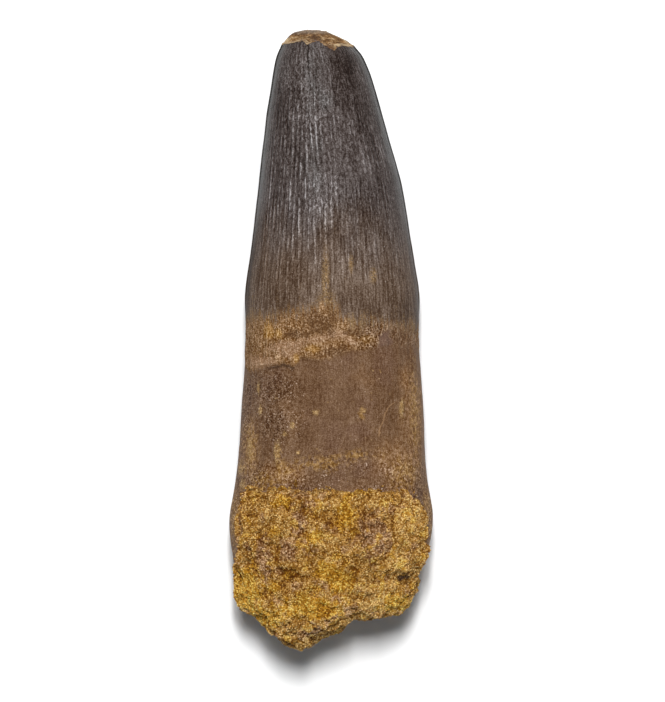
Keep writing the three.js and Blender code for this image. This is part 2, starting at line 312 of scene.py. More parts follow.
def blot(place, oval, ragged=None, solid=0.55):
    """1 in the solid middle of an oval seen from above, falling to 0 at its edge.

    An oval is the x and y of its middle and its reach in X and in Y, in mm."""
    x, y, reach_x, reach_y = oval
    middle = ((x + CENTRED_BY[0]) / reach_x, (y + CENTRED_BY[1]) / reach_y, 0.0)
    distance = (place * (1 / reach_x, 1 / reach_y, 0.0) - middle).length()
    if ragged is not None:
        distance = distance + ragged
    return rise(distance, solid, 1.1, 1.0, 0.0)


def blots(place, ovals, ragged=None, solid=0.55):
    """1 inside any of several ovals."""
    inside = blot(place, ovals[0], ragged, solid)
    for oval in ovals[1:]:
        inside = inside.most(blot(place, oval, ragged, solid))
    return inside


print("pattern helpers are ready")

# %% [markdown]
# ## The tooth's body
# A tooth is a tapering tube of oval rings. It could be carved from a cone, but the real outline
# swells and narrows by fractions of a millimetre, which is easier to follow ring by ring: a
# circle is added inside the broken tip, then extruded, sized and shifted from oval to oval down
# to the root's end. The first rings widen to the rim of the break. Subdivision then gives the
# flutes enough points. Each point keeps where it is round the tooth and along it, because the
# flutes grew that way and their pattern has to follow.


# %% Extruding an oval body
def only(piece):
    """Leaves this piece selected, so that an operator acts on nothing else."""
    bpy.ops.object.select_all(action="DESELECT")
    piece.select_set(True)
    bpy.context.view_layer.objects.active = piece


def ring_by_ring(name, rings, corners):
    """Extrudes a circle through rings of (y, left, right, bottom, top) in mm and closes both ends."""
    bpy.ops.object.select_all(action="DESELECT")
    bpy.ops.mesh.primitive_circle_add(vertices=corners, radius=1.0, rotation=(math.pi / 2, 0, 0))
    piece = bpy.context.object
    piece.name = name
    bpy.ops.object.transform_apply(location=True, rotation=True, scale=True)
    bpy.ops.object.mode_set(mode="EDIT")
    bpy.ops.mesh.select_all(action="SELECT")
    last = (0.0, -1000.0, 1000.0, -1000.0, 1000.0)  # the circle, a metre in radius
    for number, ring in enumerate(rings):
        if number:
            bpy.ops.mesh.extrude_region_move()
        middle = ((last[1] + last[2]) / 2 * MM, last[0] * MM, (last[3] + last[4]) / 2 * MM)
        wider = (ring[2] - ring[1]) / (last[2] - last[1])
        deeper = (ring[4] - ring[3]) / (last[4] - last[3])
        bpy.ops.transform.resize(value=(wider, 1, deeper), center_override=middle)
        moved = ((ring[1] + ring[2]) / 2 * MM, ring[0] * MM, (ring[3] + ring[4]) / 2 * MM)
        bpy.ops.transform.translate(value=[new - old for new, old in zip(moved, middle)])
        last = ring
    bpy.ops.mesh.merge(type="CENTER")
    bpy.ops.object.mode_set(mode="OBJECT")
    first_y = rings[0][0] * MM
    for vertex in piece.data.vertices:
        vertex.select = abs(vertex.co.y - first_y) < 1e-7
    bpy.ops.object.mode_set(mode="EDIT")
    bpy.ops.mesh.merge(type="CENTER")
    bpy.ops.mesh.select_all(action="SELECT")
    bpy.ops.mesh.normals_make_consistent(inside=False)
    bpy.ops.object.mode_set(mode="OBJECT")
    bpy.ops.object.shade_smooth()
    return piece


def shrunk(oval, share):
    """The same oval at a share of its size, about its own middle."""
    y, left, right, bottom, top = oval
    x, z = (left + right) / 2, (bottom + top) / 2
    sides = (x + (left - x) * share, x + (right - x) * share)
    return (y, *sides, z + (bottom - z) * share, z + (top - z) * share)


TIP_Y = 53.65
ROOT_END_Y = -45.0
BREAK_SHARES = (0.12, 0.3, 0.48, 0.64, 0.78, 0.89, 0.96, 0.985)
ROOT_END = ((-42.2, 0.98), (-43.8, 0.9), (-44.7, 0.7), (-45, 0.3))  # y, and the share of the oval
# above which y the rings are how far apart: closest at the broken tip
RING_STEPS = ((TIP_Y - 0.3, 0.15), (TIP_Y - 1, 0.4), (TIP_Y - 4, 1.0), (-6, 2.2), (ROOT_END_Y, 3.0))


def ring_at(y, share=1.0):
    """The ring at a place along the fossil, at a share of its oval's size."""
    ring = (y,) + oval_at(y)
    return ring if share == 1.0 else shrunk(ring, share)


tooth_rings = [ring_at(TIP_Y, share) for share in BREAK_SHARES]
y = TIP_Y
while y > ROOT_END_Y + 3:
    tooth_rings.append(ring_at(y))
    y -= next(step for above, step in RING_STEPS if y > above)
tooth_rings += [ring_at(y, share) for y, share in ROOT_END]

tooth = ring_by_ring("fossil_tooth", tooth_rings, 120)
print("rings:", len(tooth_rings), "faces:", len(tooth.data.polygons))

# %% Shape the break and note where each point is
BREAK_FRONT = [
    (-8.9, 52.6), (-8.6, 53.2), (-8.4, 53.9), (-7.9, 54.6), (-7.3, 55.1), (-5.2, 55.5), (-2.5, 55.5),
    (-1.2, 55.2), (-0.3, 54.9), (0.9, 54.4), (1.8, 54.0), (2.7, 53.6), (3.4, 52.8), (3.8, 52.2),
]
BREAK_BACK = [
    (-8.8, 52.5), (-7.5, 52.9), (-6.3, 53.3), (-5.2, 53.5), (-4.3, 52.7), (-3.6, 53.3), (-2.2, 53.4),
    (-1.1, 52.4), (-0.2, 51.6), (0.6, 52.4), (2.2, 52.5), (3.6, 51.8),
]
TIP_RADIUS = 5.6
BREAK_REACH = 4.0  # mm of the crown that follow the break


def drawn(points, x):
    """The height of a line of straight pieces at x."""
    for (x0, h0), (x1, h1) in zip(points, points[1:]):
        if x <= x1:
            return h0 + (h1 - h0) * min(max((x - x0) / (x1 - x0), 0.0), 1.0)
    return points[-1][1]


def eased(t):
    t = min(max(t, 0.0), 1.0)
    return t * t * (3 - 2 * t)


tooth.data.attributes.new("around", "FLOAT_VECTOR", "POINT")
tooth.data.attributes.new("inside_rim", "FLOAT", "POINT")
around, inside_rim = (tooth.data.attributes[name].data for name in ("around", "inside_rim"))
for vertex, growth, rim in zip(tooth.data.vertices, around, inside_rim):
    x, y, z = (value / MM for value in vertex.co)
    left, right, bottom, top = oval_at(y)
    across = (x - (left + right) / 2) / ((right - left) / 2)
    up = (z - (bottom + top) / 2) / ((top - bottom) / 2)
    share = max(math.hypot(across, up), 1e-6)
    on_break = y > TIP_Y - 1e-4
    rim.value = (1 - share) * TIP_RADIUS if on_break else y - TIP_Y
    near = eased((y - TIP_Y + BREAK_REACH) / BREAK_REACH)
    if near > 0:
        back = eased((up + 0.85) / 1.7)
        lift = drawn(BREAK_FRONT, x) * (1 - back) + drawn(BREAK_BACK, x) * back - TIP_Y
        y += lift * near
        left, right, bottom, top = oval_at(y)
        x = (left + right) / 2 + across * (right - left) / 2
        z = (bottom + top) / 2 + up * (top - bottom) / 2
        vertex.co = (x * MM, y * MM, z * MM)
    growth.vector = (across / share, up / share, y)
print("the tip ends at", round(max(v.co.y for v in tooth.data.vertices) / MM, 2), "mm")


# %% Centre and subdivide it
def move_with_solids(piece):
    """Moves a piece as far as centring moved the solids."""
    only(piece)
    bpy.ops.object.mode_set(mode="EDIT")
    bpy.ops.mesh.select_all(action="SELECT")
    bpy.ops.transform.translate(value=(CENTRED_BY[0] * MM, CENTRED_BY[1] * MM, 0))
    bpy.ops.object.mode_set(mode="OBJECT")


def apply_modifier(piece, kind, **settings):
    """Adds a modifier to the piece, sets it up and applies it."""
    only(piece)
    modifier = piece.modifiers.new(kind.lower(), kind)
    for name, value in settings.items():
        setattr(modifier, name, value)
    bpy.ops.object.modifier_apply(modifier=modifier.name)


move_with_solids(tooth)
apply_modifier(tooth, "SUBSURF", levels=2, render_levels=2)
print("tooth faces after subdivision:", len(tooth.data.polygons))

# %% [markdown]
# ## Relief of the tooth
# The flutes are fine ridges that run down the enamel, about a millimetre apart. They split, end
# and fade towards the worn tip and the root. The enamel stops in a ragged edge a fraction of a
# millimetre high, and below it a ledge of crust has broken away. Sculpting each by hand would take
# days, so the surface is pushed in and out by patterns in a Geometry Nodes modifier. The same
# patterns are stored on the points for the finish to read: how deep a point is in its groove, and
# how far above the enamel's end it is. The soft areas of the colours are worked out here too,
# because a finish can hold only so many patterns of its own before it renders black.


# %% Geometry Nodes helpers
def shaping_tree(name):
    """A Geometry Nodes tree with one mesh in and one out, and the place of its points in mm."""
    tree = bpy.data.node_groups.new(name, "GeometryNodeTree")
    tree.interface.new_socket("Geometry", in_out="INPUT", socket_type="NodeSocketGeometry")
    tree.interface.new_socket("Geometry", in_out="OUTPUT", socket_type="NodeSocketGeometry")
    start = tree.nodes.new("NodeGroupInput")
    place = Field(tree, tree.nodes.new("GeometryNodeInputPosition").outputs[0]) * (1 / MM)
    return tree, start.outputs[0], place


def stored(tree, name, kind="FLOAT"):
    """Reads an attribute of the points."""
    node = tree.nodes.new("GeometryNodeInputNamedAttribute")
    node.data_type = kind
    node.inputs["Name"].default_value = name
    return Field(tree, node.outputs[0])


def store(tree, mesh, name, value, domain="POINT"):
    """Keeps a value on the points or on each copy, for the finish to read."""
    node = tree.nodes.new("GeometryNodeStoreNamedAttribute")
    node.data_type = "FLOAT"
    node.domain = domain
    tree.links.new(mesh, node.inputs["Geometry"])
    node.inputs["Name"].default_value = name
    plug(tree, value, node.inputs["Value"])
    return node.outputs[0]


def push(tree, mesh, height, shift=None):
    """Moves the points out by a height in mm, and by a shift in mm."""
    normal = Field(tree, tree.nodes.new("GeometryNodeInputNormal").outputs[0])
    offset = normal * height
    if shift is not None:
        offset = offset + shift
    node = tree.nodes.new("GeometryNodeSetPosition")
    tree.links.new(mesh, node.inputs["Geometry"])
    plug(tree, offset * MM, node.inputs["Offset"])
    return node.outputs[0]


def apply_shaping(piece, tree, mesh):
    """Ends the tree, and applies it to the piece as a modifier."""
    tree.links.new(mesh, tree.nodes.new("NodeGroupOutput").inputs[0])
    apply_modifier(piece, "NODES", node_group=tree)
    print(tree.name, "has", len(tree.nodes), "nodes")


# %% Where flutes, enamel and crust run
CROWN_RADIUS = 14.0
FLUTES = (88, 76, 62)  # round the crown's base, its middle and its tip
ENAMEL_END = [
    (-15.5, 3.9), (-12.5, 3.5), (-8.4, 4.4), (-5.7, 4.8), (-3.6, 5.5), (-1.3, 6.4), (0.5, 5.5),
    (2.2, 3.5), (4.9, 2.5), (7.6, 2.9), (12.0, 2.4), (15.2, 1.8),
]
CRUST_END = [
    (-15.9, -5.7), (-14.3, -5.5), (-12.1, -4.6), (-10.2, -4.4), (-8.4, -4.1), (-7.2, -4.6), (-6.1, -3.9),
    (-5.6, -3.0), (-3.1, -3.2), (-0.4, -3.2), (3.1, -2.1), (5.8, -1.8), (7.9, -1.1), (10.2, -0.9),
    (14.7, -0.9),
]
CREST = [
    (-12.5, -2.1), (-10.2, -1.2), (-8.4, -1.8), (-5.7, -0.4), (-3.6, 0.0), (-1.8, 0.4), (-0.4, 0.7),
    (1.0, 1.1), (2.2, 0.4), (3.5, -0.4), (4.9, -1.1),
]


def on_skin(growth):
    """A place on the tooth as if it were unrolled from a cylinder, so that patterns taper with it."""
    cosine, sine, along = growth.parts()
    return joined(cosine * CROWN_RADIUS, sine * CROWN_RADIUS, along)


def fine_lines(skin, width, length, seed):
    """Fine lines along the tooth, 0 to 1, that keep their width where the crown narrows."""
    upper_crown = rise(skin.parts()[2], 24, 34)
    low = cloudy(skin, (width, width, length), seed)
    high = cloudy(skin, (width * 1.6, width * 1.6, length), seed + 0.5)
    return rise(low * (1.0 - upper_crown) + high * upper_crown, 0.38, 0.62)


def flutes_at(growth):
    """The flutes, 0 in the grooves and 1 on the ridges, and how strong they are."""
    cosine, sine, along = growth.parts()
    skin = on_skin(growth)
    turn = sine.sum_with("ARCTAN2", cosine) / (2 * math.pi)
    wander = sway(skin, (5, 5, 20), 1, 1.5) + sway(skin, (1.8, 1.8, 9), 2, 0.5)
    many, few, fewest = (((turn * count + wander) * (2 * math.pi)).sum_with("COSINE") for count in FLUTES)
    forks = sway(skin, (3, 3, 5), 3, 26)
    to_few = rise(along + forks, 26, 31)
    to_fewest = rise(along + forks, 41, 46)
    wave = many * (1.0 - to_few) + few * (to_few - to_fewest) + fewest * to_fewest
    wave = wave * 0.36 + 0.36 + fine_lines(skin, 0.5, 5.0, 15) * 0.28
    patchy = rise(cloudy(skin, (4, 4, 12), 4), 0.34, 0.6, 0.35, 1.0)
    worn = rise(along, 6, 24, 0.2, 1.0) * rise(along, 36, 48, 1.0, 0.3)
    worn = worn * rise(abs(cosine), 0.8, 0.95, 1.0, 0.1)
    return wave, patchy * worn * rise(cosine, 0.05, 0.35, 1.0, 0.55) * rise(along, 1, 5)


def ends_at(place, growth):
    """How far above the enamel's end and above the crust's end a point is, in mm."""
    _, sine, along = growth.parts()
    skin = on_skin(growth)
    x = place.parts()[0] - CENTRED_BY[0]
    seen = rise(sine, -0.1, 0.3)
    hidden_end = sway(skin, 6, 5, 4.5) + 3.0
    hidden_crust = sway(skin, 9, 7, 5.0) - 2.6
    enamel_end = line_across(x, ENAMEL_END) * seen + hidden_end * (1.0 - seen)
    crust_end = line_across(x, CRUST_END) * seen + hidden_crust * (1.0 - seen)
    enamel_end = enamel_end + sway(skin, 1.4, 6, 2.6, 3.0)
    crust_end = crust_end + sway(skin, 1.1, 8, 1.3, 3.0)
    return along - enamel_end, along - crust_end


def crest_at(place, growth):
    """1 on the crest of the crust, which only the upper face has."""
    x = place.parts()[0] - CENTRED_BY[0]
    _, sine, along = growth.parts()
    ragged = sway(place, 0.9, 13, 1.6, 3.0)
    off = abs(along - line_across(x, CREST) + ragged)
    ends = rise(x, -12.5, -10.5) * rise(x, 5.0, 3.6) * rise(sine, 0.2, 0.5)
    return rise(off, 0.9, 0.1) * ends


print("mm between flutes at the crown's base:", round(2 * math.pi * CROWN_RADIUS / FLUTES[0], 2))

# %% Where the crown's colours lie
# painted highlight: the first two tables mark where the crown's middle is painted lighter and greyer, as a
# lamp's sheen and glints
HIGHLIGHT_STRIPE = ((-3.2, 47.0, 3.2, 10.0), (-1.4, 42.4, 2.4, 2.6), (-3.4, 31.5, 2.8, 7.5))
LIT_ENAMEL = ((-3.2, 51.0, 4.6, 3.8), (-2.2, 34.2, 2.2, 2.8))
DARK_ENAMEL = ((1.9, 48.2, 3.6, 5.6), (-8.4, 40.0, 2.6, 7.0))
WRINKLED_ENAMEL = ((-4.0, 40.0, 5.0, 8.0), (-1.5, 26.0, 4.0, 6.0), (-6.6, 47.0, 3.6, 6.0))
WARM_ENAMEL = ((1.5, 19.5, 5.0, 6.0), (6.5, 17.0, 3.0, 4.0))


def crown_zones(place, growth):
    """Soft areas of the enamel, and how light or dark they make it, for the finish to read. Some of them are
    painted light: a sheen and highlights in the middle, grey sides and shaded edges.
    """
    cosine, sine, along = growth.parts()
    skin = on_skin(growth)
    upper = rise(sine, 0.05, 0.45)
    clouds = cloudy(skin, (4, 4, 11), 34)
    small_clouds = cloudy(skin, (1.6, 1.6, 4), 35)
    drift = (small_clouds - 0.5) * 0.9
    wobble = (clouds - 0.5) * 0.15
    # painted sheen: grey bands along both sides of the crown, as the table's reflection on the enamel
    sheen_side = rise(cosine + wobble, 0.86, 0.97).most(rise(wobble - cosine, 0.93, 0.99))
    sheen_side = sheen_side * rise(along, 16, 34)
    # painted highlight: a grey, lighter stripe along the crown's middle, and lit spots
    highlight_stripe = blots(place, HIGHLIGHT_STRIPE, drift, 0.1) * upper
    lit = blots(place, LIT_ENAMEL, drift, 0.1) * upper
    highlight_stripe = highlight_stripe * rise(cloudy(skin, (1.2, 1.2, 3), 26), 0.3, 0.62, 0.25, 1.0)
    dark_patch = blots(place, DARK_ENAMEL, drift * 1.4, 0.05) * upper
    wrinkled = blots(place, WRINKLED_ENAMEL, drift)
    warm_cloud = blots(place, WARM_ENAMEL, drift, 0.1) * upper
    brown_low = rise(along + (clouds - 0.5) * 14, 27, 9)
    shift = (clouds - 0.5) * 0.45 + (small_clouds - 0.5) * 0.25 - rise(along, 30, 44) * 0.07
    # painted sheen: the top of the crown is a little lighter in its middle
    shift = shift + rise(abs(cosine), 0.5, 0.1) * upper * 0.05
    # painted shade: the crown's outermost edges are darker, more so towards the root, against the table's
    # light on the flanks
    shift = shift - rise(abs(cosine), 0.945, 1.0) * rise(along, 40, 18, 0.22, 0.34)
    x = place.parts()[0] - CENTRED_BY[0]
    bent = sway(skin, (3, 3, 3), 76, 3.0, 3.0)
    wrinkle = rise(abs(along - x * 0.15 - 40.6 + bent), 0.35, 0.08) * rise(abs(x + 4.5), 7.5, 5.0)
    lower = rise(abs(along - x * 0.2 - 28.6 + bent), 0.35, 0.08) * rise(abs(x + 7.0), 5.0, 3.0)
    shift = shift + wrinkle.most(lower) * upper * (small_clouds * 0.3)
    dusty = rise(along, 20, 2) * 0.5 + warm_cloud * 0.2 + cloudy(skin, (1.3, 1.3, 7), 39) * 1.8
    return {
        # the enamel's tone, with painted highlights and painted shade added in
        "enamel_tone_and_painted_light": shift + highlight_stripe * 0.06 + lit * 0.12 - dark_patch * 0.12,
        "sheen_side": sheen_side,
        "wrinkled": wrinkled,
        # painted sheen and highlight: where the finish paints the enamel grey
        "painted_sheen": (sheen_side * 0.7).most(highlight_stripe * 0.45),
        "brown_enamel": (brown_low * 0.9).most(warm_cloud * 0.5),
        "dusty": dusty,
        "worn_side": rise(cosine, 0.5, 0.9, 1.0, 0.45),
    }


print("dark places on the enamel:", len(DARK_ENAMEL))

# %% Where the root's colours lie
GRITTY_ROOT = ((-12.5, -9.0, 9.0, 7.0), (-10.0, -14.5, 6.0, 6.0), (-16.4, -13.0, 3.2, 10.0))
SMOOTH_ROOT = ((-0.4, -24.8, 6.4, 2.6), (9.0, -24.2, 4.0, 3.0))
RUSTY_ROOT = (
    (14.6, -14.0, 3.6, 13.0), (12.0, -22.0, 7.0, 7.0), (13.5, -7.0, 2.0, 4.0), (-15.0, -20.0, 2.4, 8.0),
    (-9.0, -23.5, 6.0, 3.0), (-17.2, -33.0, 1.6, 8.0), (17.2, -32.0, 1.6, 8.0),
)
YELLOW_ROOT = (
    (-3.0, -21.8, 8.5, 1.8), (4.5, -20.4, 6.5, 1.3), (14.8, -12.0, 1.4, 12.0), (12.6, -23.6, 4.6, 4.4),
    (-14.8, -19.0, 2.0, 7.0), (-9.5, -22.0, 1.6, 4.0), (-8.0, -22.9, 2.6, 1.6), (-12.6, -24.4, 2.6, 1.6),
    (-16.2, -22.6, 1.2, 2.4), (-17.6, -32.0, 2.2, 9.0), (17.4, -30.0, 1.8, 8.0), (5.2, -13.4, 1.4, 1.2),
    (12.4, -12.0, 0.9, 2.4), (-12.0, -25.0, 5.0, 2.0),
)
MAUVE_ROOT = (
    (7.4, -22.8, 5.0, 2.2), (-9.0, -26.4, 5.0, 1.2), (9.4, -4.0, 2.2, 5.0), (4.5, -16.0, 3.0, 2.0),
)


def root_zones(place, growth):
    """Soft areas of the root."""
    _, sine, along = growth.parts()
    skin = on_skin(growth)
    upper = rise(sine, -0.2, 0.05)
    clouds = cloudy(skin, (3.0, 3.0, 6.0), 41, 3.0, 0.6)
    drift = (clouds - 0.5) * 1.3
    granular = blots(place, GRITTY_ROOT, drift, 0.0)
    granular = granular * upper * 0.9
    granular = granular.most(rise(cloudy(skin, 5, 45, 3.0), 0.54, 0.66) * (1.0 - upper))
    low_smooth = blots(place, SMOOTH_ROOT, drift, 0.1) * upper
    low_grain = rise(along + drift * 3, -19.5, -25) * rise(cloudy(skin, 3.4, 75, 3.0), 0.40, 0.58, 0.2, 0.9)
    granular = granular.most(low_grain * (1.0 - low_smooth * 0.6))
    rusty = blots(place, RUSTY_ROOT, drift, 0.1) * upper
    rusty = rusty.most(rise(cloudy(skin, 4.5, 46, 3.0), 0.56, 0.68) * (0.8 - upper * 0.6))
    yellow = blots(place, YELLOW_ROOT, drift, 0.1) * upper
    yellow = yellow.most(rise(cloudy(skin, 4, 47, 3.0), 0.56, 0.68) * (1.0 - upper))
    mauve = blots(place, MAUVE_ROOT, drift) * upper * 0.5
    mauve = mauve.most(rise(cloudy(skin, (4, 4, 6), 50, 3.0), 0.5, 0.64) * 0.35)
    return {
        "root_shift": (clouds - 0.5) * 0.42,
        "granular": granular,
        "rusty": rusty,
        "yellow_dust": yellow,
        "mauve": mauve,
    }


print("yellow places on the root:", len(YELLOW_ROOT))

# %% Where the crust's colours lie
PINK_CRUST = ((-8.0, -1.6, 3.0, 1.6), (-12.5, -4.0, 3.2, 1.4), (0.6, 0.9, 1.8, 0.9))
ORANGE_CRUST = (
    (-11.3, 1.7, 1.1, 1.8), (-9.6, 1.3, 0.8, 1.0), (-6.4, -3.3, 0.6, 1.1), (6.2, 0.3, 1.6, 0.9),
    (-3.4, -1.6, 1.6, 0.8),
)
DARK_CRUST = (
    (0.6, -2.2, 3.8, 1.3), (-2.0, 3.0, 3.8, 2.8), (11.0, 0.0, 1.6, 2.2), (5.2, 1.5, 3.4, 1.2),
    (-6.0, 1.0, 2.6, 1.0),
)
SMOOTH_CRUST = (9.4, -0.6, 1.5, 2.8)
# painted shadow: where a dark line is painted under the crust's ledge
LEDGE_SHADOW_PLACE = (-8.6, -4.4, 3.4, 1.6)


def crust_zones(place, growth):
    """Soft areas of the crust between enamel and root, most of them on the upper side."""
    x = place.parts()[0] - CENTRED_BY[0]
    upper = rise(growth.parts()[1], 0.05, 0.45)
    clouds = cloudy(place, (1.6, 1.2, 1.6), 51, 3.0, 0.6)
    drift = (clouds - 0.5) * 2
    pink = blots(place, PINK_CRUST, drift)
    orange = blots(place, ORANGE_CRUST, drift)
    dark_grit = blots(place, DARK_CRUST, drift)
    return {
        "crust_shift": (clouds - 0.5) * 0.6,
        "pink": crest_at(place, growth).most(pink * upper),
        "orange": orange * upper,
        "dark_grit": dark_grit * upper,
        "red_right": rise(x, 3.5, 6.5) * upper,
        "smooth_right": blot(place, SMOOTH_CRUST, drift) * upper,
        "faded": rise(x, 8.5, 12.0) * upper,
        # painted shadow under the ledge
        "ledge_shadow": blot(place, LEDGE_SHADOW_PLACE, drift) * upper,
    }


print("orange places on the crust:", len(ORANGE_CRUST))

# %% Push the relief out of the tooth
tree, mesh, place = shaping_tree("tooth_relief")
x = place.parts()[0]
growth = stored(tree, "around", "FLOAT_VECTOR")
_, sine, along = growth.parts()
skin = on_skin(growth)
rim = stored(tree, "inside_rim")

wave, strength = flutes_at(growth)
flute_height = (wave - 0.5) * strength * 0.22
above_end, above_crust_end = ends_at(place, growth)
enamel_step = rise(above_end, -0.5, 0.3, -0.10, 0.0)
thickness = rise(x, 3, -6, 0.10, 0.40) * rise(sine, 0.0, 0.45, 0.1, 1.0)
ledge = rise(above_crust_end, -0.30, 0.20, -1.0, 0.0) * thickness
in_crust = rise(above_crust_end, -0.2, 0.4) * rise(above_end, 0.8, -0.8)
crusty = sway(place, 1.0, 14, 0.7, 3.0) * in_crust + crest_at(place, growth) * 0.22

swell = sway(skin, 9, 9, 0.35)
root_grain = sway(skin, (1.1, 1.1, 5), 10, 0.22, 4.0) * rise(along, 1, -2)
keel = rise(abs(sine), 0.0, 0.045, 0.22, 0.0) * rise(along, 3, 8)

outside = rise(rim, -0.05, 0.35, 1.0, 0.0)
height = (flute_height + enamel_step + ledge + crusty + swell + root_grain + keel) * outside

rubble = sway(place, 1.6, 11, 1.3, 3.0) + sway(place, 0.6, 12, 0.6, 2.0)
lift = rubble * rise(rim, -0.2, 0.6)

zones = {"above_end": above_end, "above_crust_end": above_crust_end}
zones.update(flute=wave, flute_strength=strength)
for more in (crown_zones(place, growth), root_zones(place, growth), crust_zones(place, growth)):
    zones.update(more)
for name, value in zones.items():
    mesh = store(tree, mesh, name, value)
mesh = push(tree, mesh, height, joined(0.0, lift, 0.0))
apply_shaping(tooth, tree, mesh)
print("values stored on the tooth's points:", sorted(zones))

# %% [markdown]
# ## The sandstone
# Sand of the old river bed set hard round the broken root. It lies as a thick crust on the upper
# and the under face and closes over the root's end, while the root's sides stay bare. It starts
# from the same ovals as the root, so that it fits. The end is drawn as an outline, and a remesh
# makes all faces the same small size, so that grains and pits are equally crisp all over.

# %% Block out the sandstone
SHOULDER = -41.0
END_OUTLINE = [
    (-17.9, -42.6), (-17.4, -45.0), (-16.2, -47.8), (-13.3, -49.4), (-11.3, -51.6), (-8.6, -53.8),
    (-5.2, -54.6), (-2.3, -53.0), (0.6, -51.5), (2.4, -50.9), (3.6, -49.5), (7.6, -49.3),
    (11.8, -48.8), (13.0, -47.6), (14.2, -45.6), (15.0, -43.2),
]
END_BLUNTNESS = 2.6
CRUST_START = -23.0
RING_GAP = 0.6
END_SHARES = (
    1.0, 0.99, 0.975, 0.955, 0.93, 0.9, 0.865, 0.82, 0.77, 0.72, 0.66, 0.6, 0.54, 0.48, 0.41, 0.34, 0.27,
    0.2, 0.13, 0.06,
)

stone_rings = [ring_at(CRUST_START, share) for share in (0.1, 0.4, 0.7, 0.9)]
y = CRUST_START - 0.4
while y > SHOULDER:
    stone_rings.append(shrunk((y,) + oval_at(y), 0.92 + 0.08 * eased((CRUST_START - y) / 2.5)))
    y -= RING_GAP
shoulder_oval = ring_at(SHOULDER)
for share in END_SHARES:
    # a trace apart in Y, so that the end's rings can be told from the others
    stone_rings.append((SHOULDER - 0.01 * (1 - share),) + shrunk(shoulder_oval, share)[1:])
sandstone = ring_by_ring("sandstone_lump", stone_rings, 160)
print("rings:", len(stone_rings), "faces:", len(sandstone.data.polygons))

# %% Draw the broken end
STONE_FACE = 0.232  # mm

tree, mesh, place = shaping_tree("sandstone_end")
x, y, z = place.parts()
_, left, right, bottom, top = shoulder_oval
across = (x - (left + right) / 2) / ((right - left) / 2)
up = abs((z - (bottom + top) / 2) / ((top - bottom) / 2))
reach = (up / ((1.0 - across * across).most(0.0001) ** 0.5)).least(1.0)
depth = (1.0 - reach ** END_BLUNTNESS).most(0.0) ** (1 / END_BLUNTNESS)
outline = line_across(x, END_OUTLINE)
is_end = rise(y, SHOULDER - 0.00001, SHOULDER - 0.00005)
drop = (outline - SHOULDER) * depth * is_end
mesh = push(tree, mesh, 0.0, joined(0.0, drop, 0.0))
apply_shaping(sandstone, tree, mesh)

move_with_solids(sandstone)
apply_modifier(sandstone, "REMESH", mode="VOXEL", voxel_size=STONE_FACE * MM)
print("sandstone faces:", len(sandstone.data.polygons))

# %% Crust, lumps and pits
SUNK = 0.6  # mm that the stone lies inside the root where it isn't to show
DEEP_HOLE = (13.2, -42.4, 1.7, 0.9)

tree, mesh, place = shaping_tree("sandstone_relief")
x, y, z = place.parts()
left, right, bottom, top = oval_at(-32.0)
flat_x = (x - CENTRED_BY[0] - (left + right) / 2) / ((right - left) / 2)
flat_z = (z - (bottom + top) / 2) / ((top - bottom) / 2)
size = (flat_x * flat_x + flat_z * flat_z) ** 0.5
cosine, sine = flat_x / size.most(0.001), flat_z / size.most(0.001)

side = rise(cosine, 0.88, 1.0).most(rise(cosine, -0.85, -0.97))
rim_line = -26.8 - side * 13.2 - rise(cosine, 0.70, 0.90, 0.0, 2.2) + rise(sine, 0.1, -0.5, 0.0, -3.2)
rim_line = rim_line + sway(place, 3.2, 20, 2.8, 3.0) + sway(place, 0.9, 21, 2.2, 2.0)
islands = rise(cloudy(place, 0.9, 25), 0.62, 0.68) * rise(y - rim_line, 2.4, 0.8)
covered = rise(y - rim_line, 0.7, -0.7).most(islands)
closed = rise(y, -40.0, -43.0)

thick = rise(sine, -0.1, 0.35, 0.0, 0.8) + rise(sine, -0.2, -0.9, 0.0, 2.2)
thick = thick * (1.0 - closed)
lumps = sway(place, 5.0, 22, 1.7) + sway(place, 1.9, 23, 2.0, 3.0, 0.6)
pits = rise(cloudy(place, 1.5, 24, 2.0), 0.37, 0.24) * 0.8
bends = place + (joined(cloudy(place, 1.3, 28), cloudy(place, 1.3, 29), cloudy(place, 1.3, 30)) - 0.5) * 1.6
crumb_far, _ = cells(bends, (1.7, 2.1, 1.7), 6)
crevice = rise(crumb_far, 0.42, 0.85)
grain_far, _ = cells(place, 0.5, 1, "SMOOTH_F1")
grains = rise(grain_far, 0.1, 0.7, 0.5, -0.5) * 0.16
calm = rise(abs(sine), 0.0, 0.35, 0.55, 1.0)
surface = thick + (lumps - pits - crevice * 0.55) * calm + grains
deep_hole = blot(place, DEEP_HOLE, sway(place, 0.8, 27, 1.4)) * rise(z, 9, 15)
height = covered * (surface + SUNK) - SUNK - deep_hole * 0.8
# painted shade: how much the sand's colour is darkened in its hollows, pits and the deep hole, and in its
# crevices
mesh = store(tree, mesh, "hollow_shade", rise(lumps - pits - deep_hole * 1.6, 0.0, -0.9))
mesh = store(tree, mesh, "crevice", crevice)
mesh = store(tree, mesh, "bare_stone", covered)
mesh = push(tree, mesh, height)
apply_shaping(sandstone, tree, mesh)


# %% Sand grains that stand proud
GRAIN_RADIUS = 0.17
GRAIN_GAP = 0.27
GRAIN_FACES = 8

